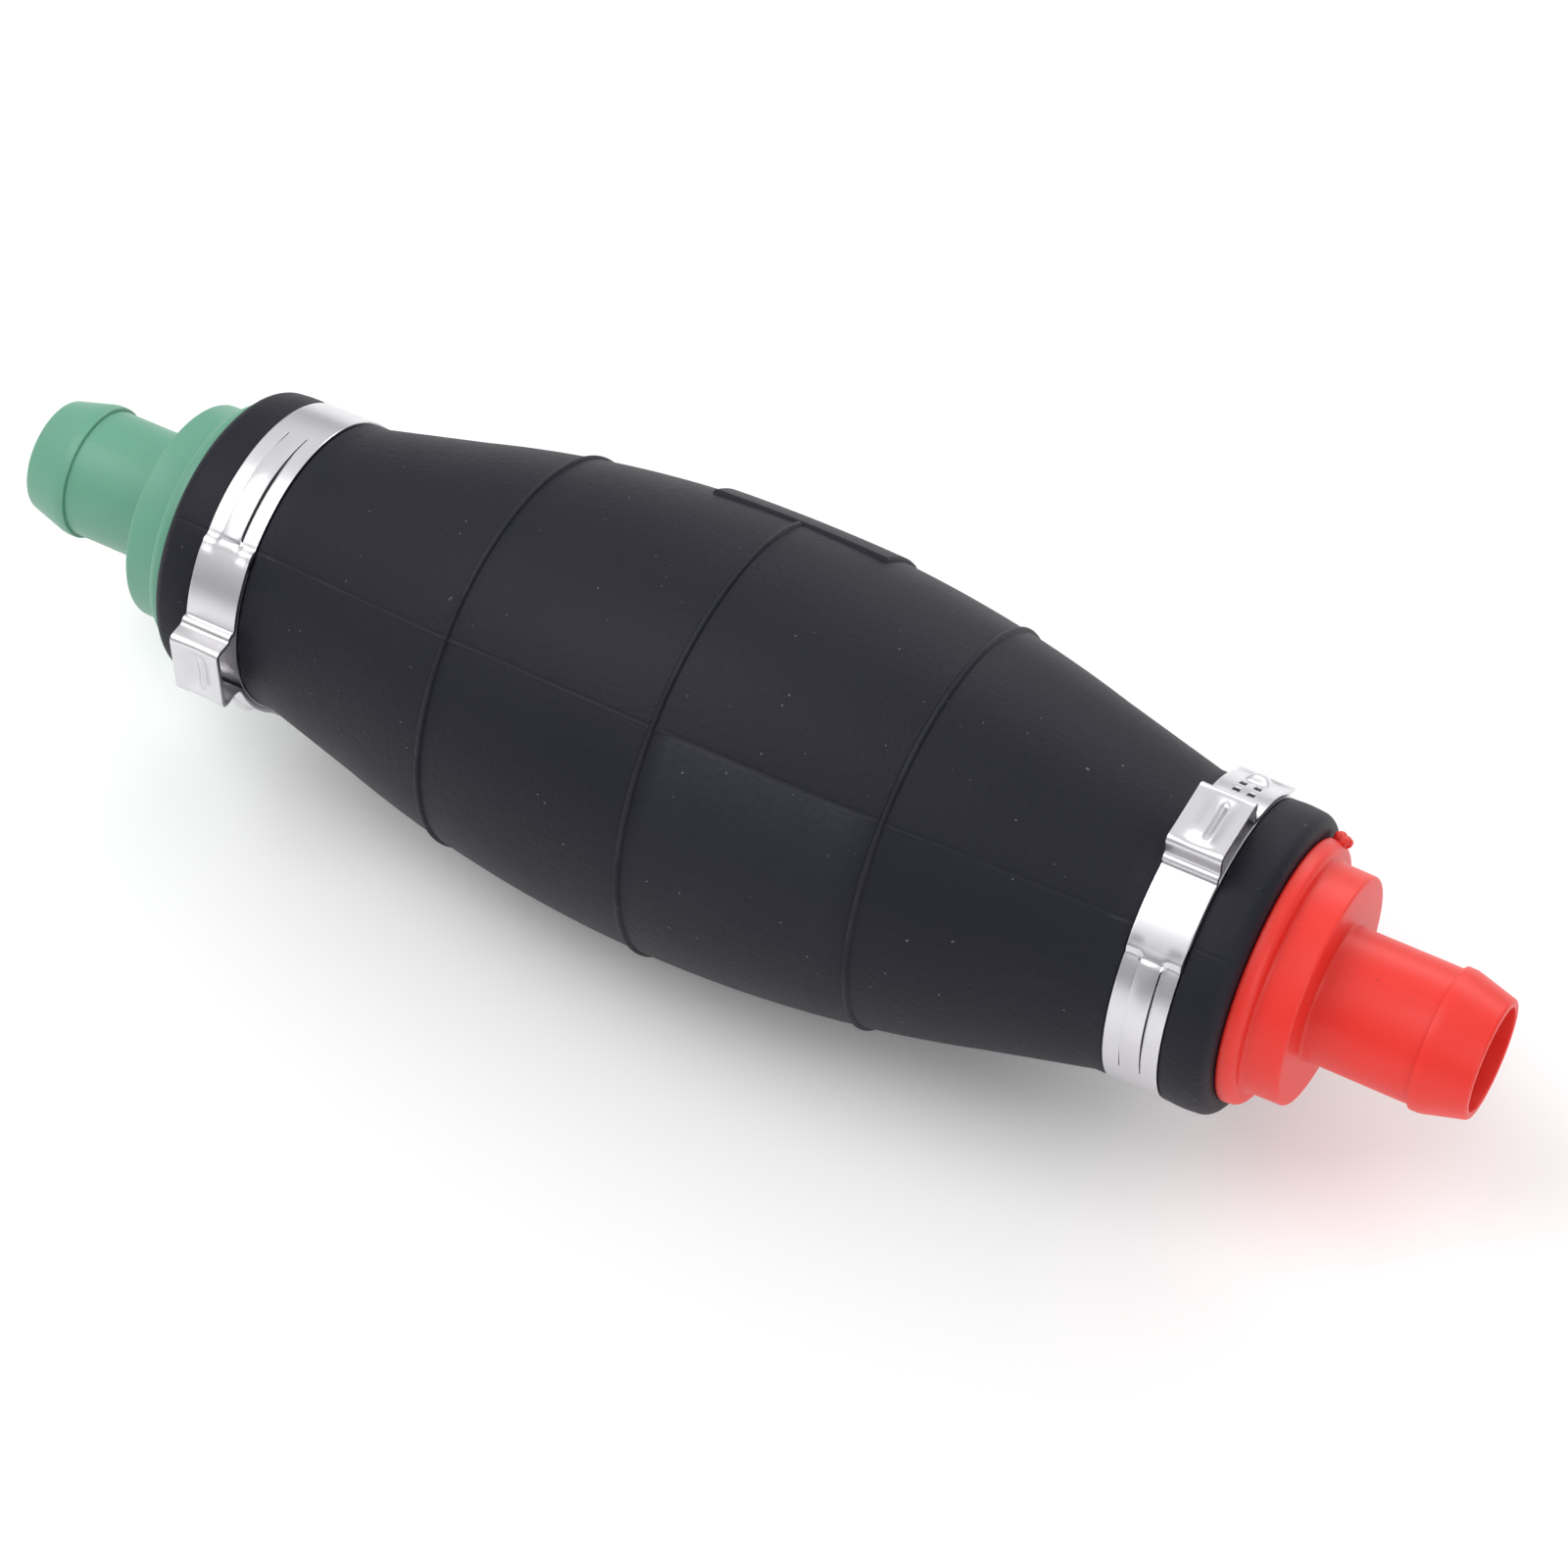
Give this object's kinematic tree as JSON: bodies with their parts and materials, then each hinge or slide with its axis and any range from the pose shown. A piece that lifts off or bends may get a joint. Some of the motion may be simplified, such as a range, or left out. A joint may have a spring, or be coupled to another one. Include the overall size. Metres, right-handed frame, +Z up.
{
  "type": "siphon bulb pump",
  "caption": "Hand-squeezed rubber bulb pump for siphoning liquid, with a barbed hose tail and a sprung check valve at each end, held by ear clamps.",
  "frame": {"origin": "on the pump's axis at the bulb's middle rib", "axes": "+X along the flow from the green inlet tail to the red outlet tail, +Z up as the pump lies in the picture"},
  "size_m": [0.2016, 0.0576, 0.0576],
  "materials": {
    "black_rubber": "matte moulded rubber",
    "green_plastic": "satin moulded plastic",
    "red_plastic": "satin moulded plastic",
    "stainless_band": "bright rolled stainless steel",
    "white_plastic": "natural acetal",
    "seal_rubber": "nitrile rubber",
    "spring_steel": "drawn stainless wire"
  },
  "bodies": {
    "root": {"bulb": "black_rubber", "inlet_fitting": "green_plastic", "outlet_fitting": "red_plastic", "inlet_clamp": "stainless_band", "outlet_clamp": "stainless_band", "inlet_valve_seat": "white_plastic", "inlet_valve_cage": "white_plastic", "inlet_seat_oring": "seal_rubber", "inlet_snap_ring": "spring_steel", "outlet_valve_seat": "white_plastic", "outlet_valve_cage": "white_plastic", "outlet_seat_oring": "seal_rubber", "outlet_snap_ring": "spring_steel", "inlet_valve_spring": "spring_steel", "outlet_valve_spring": "spring_steel"},
    "squeeze_pad": {"squeeze_pad": "black_rubber"},
    "inlet_poppet": {"inlet_poppet": "white_plastic", "inlet_poppet_seal": "seal_rubber"},
    "outlet_poppet": {"outlet_poppet": "white_plastic", "outlet_poppet_seal": "seal_rubber"}
  },
  "joints": [
    {"name": "bulb_squeeze", "type": "slide", "parent": "root", "child": "squeeze_pad", "axis": [0, -0.7431, -0.6691], "range_m": [0, 0.014], "stiffness_N_per_m": 2000, "deforming": ["bulb"]},
    {"name": "inlet_valve_open", "type": "slide", "parent": "root", "child": "inlet_poppet", "axis": [1, 0, 0], "range_m": [0, 0.003], "stiffness_N_per_m": 60, "springref_m": -0.001, "deforming": ["inlet_valve_spring"]},
    {"name": "outlet_valve_open", "type": "slide", "parent": "root", "child": "outlet_poppet", "axis": [1, 0, 0], "range_m": [0, 0.003], "stiffness_N_per_m": 60, "springref_m": -0.001, "deforming": ["outlet_valve_spring"]}
  ]
}
